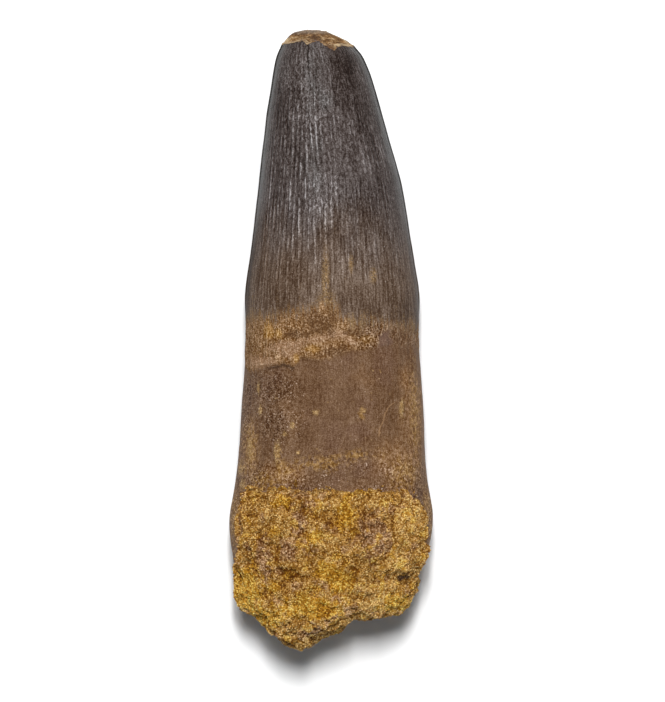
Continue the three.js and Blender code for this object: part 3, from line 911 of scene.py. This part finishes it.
only(sandstone)
bpy.ops.object.duplicate()
grains_piece = bpy.context.object
grains_piece.name = "sand_grains"
tree, mesh, place = shaping_tree("sand_grains")
spread = tree.nodes.new("GeometryNodeDistributePointsOnFaces")
spread.distribute_method = "POISSON"
tree.links.new(mesh, spread.inputs["Mesh"])
spread.inputs["Distance Min"].default_value = GRAIN_GAP * MM
spread.inputs["Density Max"].default_value = 40.0 / MM ** 2
spread.inputs["Seed"].default_value = 7
above_table = rise(place.parts()[2], 0.05, 0.15)
plug(tree, rise(stored(tree, "bare_stone"), 0.6, 0.95) * above_table, spread.inputs["Density Factor"])


def chance(tree, low, high, seed):
    """A random number or vector for each grain."""
    node = tree.nodes.new("FunctionNodeRandomValue")
    vector = hasattr(low, "__len__")
    node.data_type = "FLOAT_VECTOR" if vector else "FLOAT"
    first = 0 if vector else 2
    node.inputs[first].default_value, node.inputs[first + 1].default_value = low, high
    node.inputs["Seed"].default_value = seed
    return Field(tree, node.outputs[0 if vector else 1])


grain_shape = tree.nodes.new("GeometryNodeMeshUVSphere")
grain_shape.inputs["Segments"].default_value = 4
grain_shape.inputs["Rings"].default_value = 2
grain_shape.inputs["Radius"].default_value = GRAIN_RADIUS * MM
sown = tree.nodes.new("GeometryNodeInstanceOnPoints")
tree.links.new(spread.outputs["Points"], sown.inputs["Points"])
tree.links.new(grain_shape.outputs["Mesh"], sown.inputs["Instance"])
plug(tree, chance(tree, (0, 0, 0), (6.28, 6.28, 6.28), 1), sown.inputs["Rotation"])
plug(tree, chance(tree, (0.7, 0.7, 0.7), (1.35, 1.35, 1.35), 2), sown.inputs["Scale"])
tinted = store(tree, sown.outputs[0], "grain_tint", chance(tree, 0.0, 1.0, 3), "INSTANCE")
real = tree.nodes.new("GeometryNodeRealizeInstances")
tree.links.new(tinted, real.inputs[0])
apply_shaping(grains_piece, tree, real.outputs[0])
print("grains:", len(grains_piece.data.polygons) // GRAIN_FACES)


# %% Flat where it lies
def cut_flat(piece):
    """Presses the points that would be below the table up to it."""
    for vertex in piece.data.vertices:
        if vertex.co.z < 0:
            vertex.co.z = 0


for piece in (tooth, sandstone, grains_piece):
    cut_flat(piece)
    lowest = min(vertex.co.z for vertex in piece.data.vertices)
    print(piece.name, "faces:", len(piece.data.polygons), "lowest:", lowest)

# %% [markdown]
# ## Finish of the tooth
# One finish covers the whole tooth, because its zones run into each other: bare ochre dentine on
# the break, dark enamel with a low polish, a dusty band where the enamel ends, and the matt brown
# root. In most zones, patterns add up to a tone, and `shades` turns the tone into dark to light of
# one colour. The stored areas then say where each colour lies.


# %% Shader helpers
LAMPLIGHT = 1.14  # how much brighter than its own colour the lamps make a level surface
SHADE_STEPS = ((0.0, -60), (0.25, -32), (0.5, 0), (0.75, 34), (1.0, 84))  # tone, and levels added


def ink(red, green, blue):
    """The colour that looks like this on a screen, 0 to 255, once it lies under the lamps."""
    linear = [v / 255 / 12.92 if v <= 10 else ((v / 255 + 0.055) / 1.055) ** 2.4 for v in (red, green, blue)]
    return (*[v / LAMPLIGHT for v in linear], 1.0)


def finish_tree(name):
    """A new material's tree, and the place of a point on its piece in mm."""
    material = bpy.data.materials.new(name)
    material.use_nodes = True
    tree = material.node_tree
    coordinates = tree.nodes.new("ShaderNodeTexCoord")
    return material, tree, Field(tree, coordinates.outputs["Object"]) * (1 / MM)


def read(tree, name, vector=False):
    """An attribute that the shaping stored."""
    node = tree.nodes.new("ShaderNodeAttribute")
    node.attribute_name = name
    return Field(tree, node.outputs["Vector" if vector else "Fac"])


def blend(share, first, second):
    """Mixes two colours. A share of 0 is the first."""
    tree = share.tree
    node = tree.nodes.new("ShaderNodeMix")
    node.data_type = "RGBA"
    for number, value in ((0, share), (6, first), (7, second)):
        plug(tree, value, node.inputs[number])
    return Field(tree, node.outputs[2])


def palette(value, *stops):
    """Colours along a ramp, as (place, colour), in order."""
    node = value.tree.nodes.new("ShaderNodeValToRGB")
    ramp = node.color_ramp
    for at, _ in stops[2:]:
        ramp.elements.new(at)
    for element, (at, colour) in zip(ramp.elements, stops):
        element.position = at
        element.color = colour
    plug(value.tree, value, node.inputs[0])
    return Field(value.tree, node.outputs[0])


def shades(tone, red, green, blue, spread=1.0, fade=0.03):
    """Dark to light of one colour, in steps widened by spread. fade makes the light end paler and
    the dark end deeper in hue."""
    weights = ((red, 1 - fade), (green, 1), (blue, 1 + fade))
    stops = []
    for at, step in SHADE_STEPS:
        stops.append((at, ink(*[min(max(v + step * spread * weight, 2), 255) for v, weight in weights])))
    return palette(tone, *stops)


def surface_of(material, colour, roughness, height, gloss):
    """Plugs colour, roughness and a bump height in mm into the material's shader, with its gloss."""
    tree = material.node_tree
    shader = tree.nodes["Principled BSDF"]
    plug(tree, colour, shader.inputs["Base Color"])
    plug(tree, roughness, shader.inputs["Roughness"])
    bump = tree.nodes.new("ShaderNodeBump")
    bump.inputs["Distance"].default_value = MM
    plug(tree, height, bump.inputs["Height"])
    tree.links.new(bump.outputs[0], shader.inputs["Normal"])
    shader.inputs["Specular IOR Level"].default_value = gloss
    print(material.name, "has", len(tree.nodes), "nodes")


# %% Enamel
enamel, tree, place = finish_tree("fossil_tooth_finish")
skin = on_skin(read(tree, "around", vector=True))
long_lines = fine_lines(skin, 0.30, 4.0, 30)
dashes = fine_lines(skin, 0.26, 0.7, 31)
grain = crisp(place, 0.24, 32, 0.38, 0.62)
dust_noise = cloudy(place, 0.32, 38, 3.0, 0.7)
wave, strength = read(tree, "flute"), read(tree, "flute_strength")

ridge = rise(wave, 0.5, 0.95) * rise(long_lines * 0.6 + dashes, 0.1, 1.3, 0.35, 1.1)
groove = rise(wave, 0.36, 0.08)
bends = place + joined(cloudy(place, 0.7, 33), 0.5, cloudy(place, 0.7, 36)) * 0.9
net = rise(cells(bends, (0.62, 1.3, 0.62), 8, "DISTANCE_TO_EDGE"), 0.02, 0.13, 1.0, 0.0)
net = net * read(tree, "wrinkled")
low_crown = rise(read(tree, "around", vector=True).parts()[2], 26, 14)
tone = (long_lines - 0.5) * (low_crown * 0.10 + 0.14) + (dashes - 0.5) * (0.26 - low_crown * 0.12)
tone = tone + (grain - 0.5) * 0.25
# painted highlight on the flutes' crests and painted shade in their grooves
tone = tone + (ridge * 0.37 - groove * 0.14) * strength + net * 0.22
# painted sheen: the crown's sides keep less of their pattern, as under a reflection
tone = tone * (1.0 - read(tree, "sheen_side") * 0.3) + read(tree, "enamel_tone_and_painted_light") + 0.37
bright_specks = crisp(place, 0.26, 55, 0.61, 0.69)
speckled = rise(cloudy(place, 2.2, 29), 0.50, 0.62) * low_crown
tone = tone + bright_specks * (speckled * 0.4 + 0.04)
x, y, z = (place - (*CENTRED_BY, 0.0)).parts()
crack = rise(abs(x + 4.35 + sway(place, 1.2, 37, 0.9)), 0.16, 0.03)
crack = crack * rise(y, 47.2, 49.0) * rise(z, 8, 9)
tone = tone - crack * 0.4

enamel_colour = shades(tone, 86, 77, 74)
# painted sheen and highlight: a grey colour on the crown's sides and along its middle stripe
enamel_colour = blend(read(tree, "painted_sheen"), enamel_colour, shades(tone, 82, 80, 78))
enamel_colour = blend(read(tree, "brown_enamel"), enamel_colour, shades(tone, 107, 88, 73))
print("nodes for the enamel:", len(tree.nodes))

# %% Dust on the enamel, and where it ends
DUST_SPIKES = ((-1.2, 11.0, 0.9, 6.5), (-1.0, 6.2, 2.4, 3.2), (3.3, 13.4, 0.6, 2.2), (7.2, 11.4, 0.9, 1.8))

above_end = read(tree, "above_end")
ragged_end = above_end + (dust_noise - 0.5) * 4.0 + (long_lines - 0.5) * 1.6 + (grain - 0.5) * 0.8
is_enamel = rise(ragged_end, -1.0, 1.2)
dusty = read(tree, "dusty") + rise(above_end, 3.5, -0.5) * 0.5
dust = rise(dust_noise * 0.7 + (1.0 - wave) * 0.10 + dusty * 0.36, 0.96, 1.28)
spikes = blots(place, DUST_SPIKES, (dust_noise - 0.5) * 2.6) * rise(z, 14, 18)
dust = dust.most(spikes * rise(dust_noise, 0.40, 0.58))
dust_tone = sway(place, 0.30, 40, 2.4, 3.0, 0.7) + 0.55
enamel_colour = blend(dust * 0.75, enamel_colour, shades(dust_tone, 142, 110, 68))
enamel_rough = rise(tone, 0.2, 0.8, 0.28, 0.40) + dust * 0.35 + low_crown * read(tree, "worn_side") * 0.28
enamel_bump = ridge * strength * 0.07 + net * 0.035 + grain * 0.02 + (long_lines + dashes) * 0.02
enamel_bump = enamel_bump + dust * 0.04
print("nodes with the dust:", len(tree.nodes))

# %% Root
fine = crisp(place, 0.22, 43, 0.36, 0.64)
pitting = crisp(place, 0.28, 44, 0.40, 0.60)
granular = read(tree, "granular")
rusty = read(tree, "rusty")
root_lines = fine_lines(skin, 0.26, 1.6, 42)
root_tone = read(tree, "root_shift") + (root_lines - 0.5) * 0.10 + (fine - 0.5) * 0.22 + 0.40
root_tone = root_tone + granular * ((pitting - 0.5) * 0.42 - 0.02) + rusty * ((pitting - 0.5) * 0.24 + 0.04)
mottle = crisp(place, 0.62, 59, 0.38, 0.62)
grit = 0.07 + (granular + rusty + read(tree, "yellow_dust")).least(1.0) * 0.21
clusters = rise(cloudy(place, 1.7, 70, 2.0, 0.6), 0.40, 0.62, 0.25, 1.2)
root_tone = root_tone + bright_specks * clusters * (0.22 + granular * 0.8) + (mottle - 0.5) * grit
root_colour = shades(root_tone, 117, 89, 66)
root_colour = blend(read(tree, "mauve"), root_colour, shades(root_tone, 118, 90, 73))
root_colour = blend(rusty * 0.8, root_colour, shades(root_tone, 143, 106, 70))

yellow_area = read(tree, "yellow_dust")
yellow_dust = rise(cloudy(place, 0.7, 48, 4.0, 0.65) + yellow_area * 0.10, 0.50, 0.62)
yellow_dust = yellow_dust * (yellow_area * 0.9 + 0.05)
yellow_tone = root_tone + (dust_tone - 0.55) * 0.6
root_colour = blend(yellow_dust * 0.7, root_colour, shades(yellow_tone, 166, 128, 74))
print("nodes with the root:", len(tree.nodes))

# %% Clay and hairlines on the root
CLAY_DROPS = (
    (-2.9, -12.8, 0.7, 0.6), (-7.1, -15.1, 0.5, 0.7), (-8.4, -16.6, 0.5, 0.5), (-9.8, -19.6, 0.7, 1.9),
    (-6.1, -19.9, 0.5, 0.4), (5.4, -12.4, 0.6, 0.6), (12.2, -12.0, 0.5, 1.5), (-15.9, -25.6, 0.6, 1.0),
    (-12.8, -12.4, 0.4, 1.0), (-14.6, -19.2, 0.6, 1.9), (-16.3, -22.8, 0.5, 1.2), (-13.1, -8.6, 0.3, 1.2),
)
# each as points of (y, x), and the y where it starts and stops
HAIRLINES = (
    ([(-17.5, 8.1), (-14.5, 8.8), (-12.1, 9.6), (-10.6, 11.6)], -17.5, -10.4),
    ([(-27.0, -15.6), (-24.7, -15.0), (-21.8, -13.4)], -27.0, -21.8),
)

specks = rise(cells(place, 1.3, 3)[0], 0.17, 0.08) * rise(cloudy(skin, 4, 49), 0.5, 0.6)
drops = blots(place, CLAY_DROPS, (dust_noise - 0.5) * 2.6) * rise(z, 14, 18)
drops = (drops * (pitting * 0.45 + 0.30)).most(specks * 0.4)
root_colour = blend(drops, root_colour, shades(dust_tone, 182, 144, 90))
for path, start, stop in HAIRLINES:
    off = abs(x - line_across(y, path) + sway(place, 1.5, 56, 1.2, 3.0))
    hairline = rise(off, 0.2, 0.04) * rise(y, start, start + 1) * rise(y, stop, stop - 1) * rise(z, 14, 18)
    root_colour = blend(hairline * 0.45, root_colour, ink(172, 134, 96))
root_bump = fine * 0.02 + root_lines * 0.02 + granular * pitting * 0.08 + yellow_dust * 0.05 + drops * 0.1
print("nodes with clay and hairlines:", len(tree.nodes))

# %% Crust between enamel and root
band_lines = fine_lines(skin, 0.28, 1.3, 57)
band_grain = crisp(place, 0.28, 58, 0.36, 0.64)
band_tone = (band_lines - 0.5) * 0.28 + (band_grain - 0.5) * 0.56 + read(tree, "crust_shift") + 0.43
band_colour = shades(band_tone, 139, 104, 68)
band_colour = blend(read(tree, "pink") * 0.9, band_colour, shades(band_tone, 164, 130, 100, 0.7))
band_colour = blend(read(tree, "orange") * 0.75, band_colour, shades(band_tone, 176, 134, 78))
band_colour = blend(read(tree, "dark_grit") * (1.0 - band_grain * 0.5) * 0.85, band_colour, ink(86, 58, 36))
band_colour = blend(read(tree, "red_right") * 0.6, band_colour, shades(band_tone, 125, 95, 68, 1.6))
band_colour = blend(read(tree, "smooth_right") * 0.75, band_colour, ink(116, 90, 78))
above_crust_end = read(tree, "above_crust_end")
in_band = rise(above_crust_end + (dust_noise - 0.5) * 1.2, -0.5, 0.5) * rise(ragged_end, 2.0, -1.0)
in_band = in_band * (1.0 - read(tree, "faded") * 0.5)
colour = blend(in_band, root_colour, band_colour)
# painted shadow: a dark brown line just below the crust's ledge
ledge_shadow_line = rise(abs(above_crust_end + 0.3 + (dust_noise - 0.5) * 1.2), 0.4, 0.0)
colour = blend(ledge_shadow_line * read(tree, "ledge_shadow") * 0.7, colour, ink(62, 43, 30))
colour = blend(is_enamel, colour, enamel_colour)
print("nodes with the crust:", len(tree.nodes))

# %% Break, gloss and bumps
DARK_BREAK = ((-3.2, 53.6, 1.0, 0.9), (-5.6, 54.6, 1.6, 0.5), (-0.6, 52.0, 1.3, 0.8))
PALE_RIM = ((-7.0, 52.8, 2.6, 1.2), (2.4, 52.8, 2.8, 1.6), (-4.4, 52.6, 0.8, 1.2))

rim = read(tree, "inside_rim")
break_noise = cloudy(place, (0.45, 0.26, 0.45), 52, 3.0, 0.7)
break_colour = palette(
    break_noise * 1.1 + cloudy(place, 1.3, 53) * 0.8 - 0.48,
    (0.2, ink(80, 56, 38)), (0.42, ink(130, 94, 60)), (0.58, ink(176, 136, 90)), (0.76, ink(222, 198, 162)))
dark_spots = blots(place, DARK_BREAK, (break_noise - 0.5) * 2)
break_colour = blend(dark_spots * 0.6, break_colour, ink(92, 62, 46))
over_edge = rim + 0.3 + sway(place, 0.8, 54, 0.9, 3.0)
on_break = rise(over_edge, -0.12, 0.12)
on_front = rise(place.parts()[1] + (break_noise - 0.5) * 0.8, 54.2, 54.9)
break_colour = blend(on_front * 0.7, break_colour, shades(break_noise, 158, 140, 122))
pale_places = blots(place, PALE_RIM)
colour = blend(on_break, colour, break_colour)
colour = blend(rise(abs(over_edge - 0.22), 0.28, 0.0) * pale_places * 0.8, colour, ink(214, 190, 152))

root_rough = rise(root_tone, 0.2, 0.8, 0.50, 0.68)
roughness = enamel_rough * is_enamel + root_rough * (1.0 - is_enamel)
roughness = roughness.most(on_break * 0.85).most(in_band * (1.0 - is_enamel) * 0.75)
band_bump = band_grain * 0.08 + band_lines * 0.05 + read(tree, "crust_shift") * 0.5
height = enamel_bump * is_enamel + (root_bump * (1.0 - in_band) + band_bump * in_band) * (1.0 - is_enamel)
height = height + break_noise * 0.35 * on_break
surface_of(enamel, colour, roughness, height, gloss=0.06)
tooth.data.materials.append(enamel)

# %% [markdown]
# ## Finish of the sandstone
# Sandstone is a crowd of grains, each of its own colour, in clouds of ochre, yellow and mauve
# where iron stained it. On the lump, cells the size of real grains each pick a tone, and larger
# clouds shift it. Shade is painted on the lump: a little all over, where it shows between the
# proud grains, and most in the gaps between its cells. The grains that stand proud have a tint of
# their own instead, and go through the same clouds.

# %% Clouds of sand
YELLOW_SAND = (
    (-15.3, -44.2, 3.8, 4.8), (2.2, -30.5, 1.8, 3.4), (1.5, -42.6, 3.4, 2.2), (-3.0, -34.8, 2.2, 1.5),
    (-10.4, -43.8, 1.3, 1.3), (-9.0, -28.6, 1.6, 1.2), (-0.9, -40.8, 3.0, 2.2), (-5.0, -45.8, 2.0, 1.6),
    (11.6, -46.4, 3.0, 1.8), (-12.0, -49.0, 3.0, 2.0), (-4.0, -47.4, 7.0, 2.0),
)
DARK_SAND = (
    (-8.4, -42.6, 3.6, 5.0), (-1.4, -31.8, 2.2, 3.0), (-15.0, -28.0, 3.0, 3.0), (-5.5, -30.0, 2.0, 2.4),
    (1.4, -33.0, 4.0, 3.0),
)
PALE_SAND = (
    (14.0, -31.0, 3.4, 5.0), (8.6, -45.6, 4.6, 3.2), (11.5, -29.0, 3.2, 1.8), (13.0, -40.0, 3.0, 4.0),
    (-15.4, -46.0, 3.0, 4.0),
)
MAUVE_SAND = (
    (-4.4, -29.3, 1.6, 1.2), (-12.2, -40.0, 1.4, 6.0), (0.6, -46.2, 1.2, 1.2), (-3.8, -51.2, 2.0, 1.6),
    (0.2, -48.0, 1.3, 1.8), (7.4, -34.8, 3.4, 4.0), (-6.0, -32.4, 1.6, 2.4), (-8.0, -37.0, 1.6, 2.2),
)


def stone_colour(tree, place, shade):
    """The colour of sand where shade, 0 to 1, is how light the grain there is."""
    hollow_shade, crevice = read(tree, "hollow_shade"), read(tree, "crevice")
    clumps = cloudy(place, (1.4, 2.2, 1.4), 63, 2.0, 0.6)
    clouds = cloudy(place, (3.5, 6.0, 3.5), 64)
    ragged = (clumps - 0.5) * 2.4
    on_top = rise(place.parts()[2], 9, 15)
    pale = blots(place, PALE_SAND, ragged) * on_top
    tone = (shade - 0.5) * 1.05 + (clumps - 0.5) * 0.76 + (clouds - 0.5) * 0.4 + pale * 0.14 + 0.54
    dark = blots(place, DARK_SAND, ragged, 0.2) * on_top
    # painted shade in the crevices, and painted light: the sand is lighter towards the broken end, which
    # faces away from the lamps
    tone = tone + 0.11 - crevice * 0.24 - dark * 0.10 + rise(place.parts()[1], -43.0, -48.0) * 0.08
    tone = tone - (tone - 0.5) * (tone - 0.5) * 0.55
    ochre = shades(tone, 172, 123, 49, 1.15, 0.0)
    mauve_brown = shades(tone, 153, 112, 78, 1.1, 0.0)
    yellow = shades(tone, 197, 142, 36, 1.1, 0.0)
    mauve_area = rise(cloudy(place, 3.0, 66, 3.0), 0.54, 0.64) * 0.7
    mauve_area = mauve_area.most(blots(place, MAUVE_SAND, ragged) * on_top)
    yellow_area = rise(cloudy(place, 2.4, 67, 3.0), 0.54, 0.64) * 0.7
    yellow_area = yellow_area.most(blots(place, YELLOW_SAND, ragged) * on_top)
    colour = blend(yellow_area * 0.95, blend(mauve_area * 0.75, ochre, mauve_brown), yellow)
    # painted shade: dark brown in the hollows
    return blend(hollow_shade * 0.45, colour, ink(80, 46, 4))


print("yellow places on the sandstone:", len(YELLOW_SAND))

# %% Stone and grains
sand, tree, place = finish_tree("sandstone_finish")
wobble = joined(cloudy(place, 0.3, 60), cloudy(place, 0.3, 61), cloudy(place, 0.3, 62)) - 0.5
grain_far, grain_random = cells(place + wobble * 0.3, 0.30, 5)
fine = crisp(place, 0.2, 65, 0.36, 0.64)
shade = grain_random.parts()[0] * 0.8 + fine * 0.2
colour = stone_colour(tree, place, shade)
# painted shade: the lump is a little darker all over, where it shows between the proud grains, and darkest
# in the gaps between its cells
gap_shade = rise(grain_far, 0.42, 0.75) * 0.6
colour = blend(gap_shade.most(0.3), colour, ink(78, 46, 6))
height = rise(grain_far, 0.1, 0.75, 0.12, 0.0) + fine * 0.04
surface_of(sand, colour, 0.85, height, gloss=0.2)
sandstone.data.materials.append(sand)

quartz, tree, place = finish_tree("sand_grain_finish")
tint = read(tree, "grain_tint")
fine = cloudy(place, 0.12, 68, 1.0)
colour = stone_colour(tree, place, tint + (fine - 0.5) * 0.5)
surface_of(quartz, colour, rise(tint, 0.5, 1.0, 0.85, 0.7), fine * 0.03, gloss=0.1)
grains_piece.data.materials.clear()
grains_piece.data.materials.append(quartz)

# %% [markdown]
# ## Hand over
# Each finished piece rides on the one body that the fossil has and takes the place of its solid.

# %% Ride, replace and measure
for piece, node, slot in (
    (tooth, "tooth", "tooth"),
    (sandstone, "sandstone_matrix", "sandstone"),
    (grains_piece, "sandstone_matrix", "sandstone"),
):
    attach(piece, "root")
    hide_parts(node)
    print(piece.name, "triangles:", sum(len(p.vertices) - 2 for p in piece.data.polygons))
